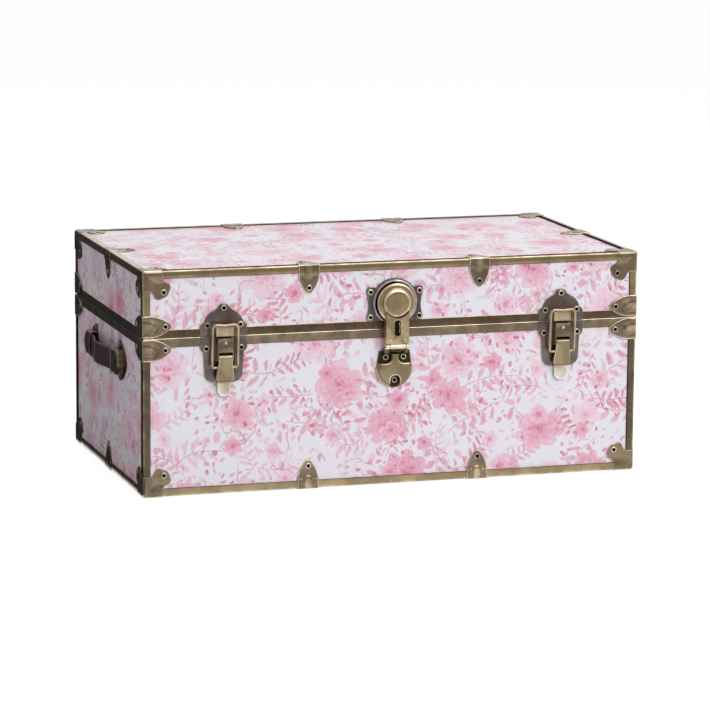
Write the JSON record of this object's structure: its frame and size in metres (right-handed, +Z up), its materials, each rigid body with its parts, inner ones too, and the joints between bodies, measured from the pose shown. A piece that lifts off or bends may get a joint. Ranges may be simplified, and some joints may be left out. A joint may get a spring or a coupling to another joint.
{
  "type": "dorm trunk",
  "caption": "Rectangular storage trunk with a hinged lid, brass-bound edges and corners, side draw bolts, a centre hasp and leather end handles.",
  "frame": {"origin": "on the floor, under the middle of the box, at the level of the lower corner caps", "axes": "+X to the right along the front, +Y from the front to the back, +Z up"},
  "size_m": [0.8502, 0.48, 0.3556],
  "materials": {
    "plywood": "plain plywood",
    "printed_sheet": "satin printed sheet",
    "lining_paper": "matt paper lining",
    "edge_brass": "satin antique brass",
    "dark_brass": "dark antique brass",
    "leather": "dark brown leather"
  },
  "bodies": {
    "base": {"base_back_left_cap": "dark_brass", "base_back_panel": "plywood", "base_back_right_cap": "dark_brass", "base_bottom_panel": "plywood", "base_bottom_trims": "edge_brass", "base_corner_trims": "edge_brass", "base_covering": "printed_sheet", "base_edge_clips": "dark_brass", "base_front_left_cap": "dark_brass", "base_front_panel": "plywood", "base_front_right_cap": "dark_brass", "base_left_panel": "plywood", "base_lining": "lining_paper", "base_right_panel": "plywood", "base_rim": "edge_brass", "base_rim_clamps": "dark_brass", "base_rivets": "edge_brass", "hasp_pin": "edge_brass", "hasp_shield_plate": "dark_brass", "hinge_base_leaves": "dark_brass", "hinge_pins": "edge_brass", "left_handle_caps": "edge_brass", "left_latch_bracket": "edge_brass", "left_latch_plate": "dark_brass", "lever_pins": "edge_brass", "right_handle_caps": "edge_brass", "right_latch_bracket": "edge_brass", "right_latch_plate": "dark_brass"},
    "lid": {"lid_back_left_cap": "dark_brass", "lid_back_panel": "plywood", "lid_back_right_cap": "dark_brass", "lid_corner_trims": "edge_brass", "lid_covering": "printed_sheet", "lid_edge_clips": "dark_brass", "lid_front_left_cap": "dark_brass", "lid_front_panel": "plywood", "lid_front_right_cap": "dark_brass", "lid_left_panel": "plywood", "lid_lining": "lining_paper", "lid_right_panel": "plywood", "lid_rim": "edge_brass", "lid_rim_clamps": "dark_brass", "lid_rivets": "edge_brass", "lid_top_panel": "plywood", "lid_top_trims": "edge_brass", "left_catch_plate": "dark_brass", "right_catch_plate": "dark_brass", "left_keeper": "edge_brass", "right_keeper": "edge_brass", "hasp_ring_plate": "dark_brass", "hinge_lid_leaves": "dark_brass"},
    "left_lever": {"left_lever": "edge_brass"},
    "right_lever": {"right_lever": "edge_brass"},
    "left_bail": {"left_bail": "edge_brass"},
    "right_bail": {"right_bail": "edge_brass"},
    "hasp": {"hasp_strap": "edge_brass", "hasp_head": "edge_brass"},
    "left_strap": {"left_handle_strap": "leather"},
    "right_strap": {"right_handle_strap": "leather"}
  },
  "joints": [
    {"name": "lid_hinge", "type": "hinge", "parent": "base", "child": "lid", "pos_m": [0, 0.2316, 0.2492], "axis": [-1, 0, 0], "range_deg": [0, 100]},
    {"name": "left_lever_hinge", "type": "hinge", "parent": "base", "child": "left_lever", "pos_m": [-0.2765, -0.237, 0.2168], "axis": [-1, 0, 0], "range_deg": [0, 105]},
    {"name": "left_bail_hinge", "type": "hinge", "parent": "left_lever", "child": "left_bail", "pos_m": [-0.2765, -0.2352, 0.2012], "axis": [1, 0, 0], "range_deg": [0, 126]},
    {"name": "right_lever_hinge", "type": "hinge", "parent": "base", "child": "right_lever", "pos_m": [0.2765, -0.237, 0.2168], "axis": [-1, 0, 0], "range_deg": [0, 105]},
    {"name": "right_bail_hinge", "type": "hinge", "parent": "right_lever", "child": "right_bail", "pos_m": [0.2765, -0.2352, 0.2012], "axis": [1, 0, 0], "range_deg": [0, 126]},
    {"name": "hasp_hinge", "type": "hinge", "parent": "base", "child": "hasp", "pos_m": [0, -0.24, 0.222], "axis": [1, 0, 0], "range_deg": [0, 150]},
    {"name": "left_strap_slide", "type": "slide", "parent": "base", "child": "left_strap", "axis": [0, 1, 0], "range_m": [-0.006, 0.006]},
    {"name": "right_strap_slide", "type": "slide", "parent": "base", "child": "right_strap", "axis": [0, 1, 0], "range_m": [-0.006, 0.006]}
  ],
  "couplings": [
    {"joint": "left_bail_hinge", "follows": "left_lever_hinge", "ratio": 1.2},
    {"joint": "right_bail_hinge", "follows": "right_lever_hinge", "ratio": 1.2}
  ]
}
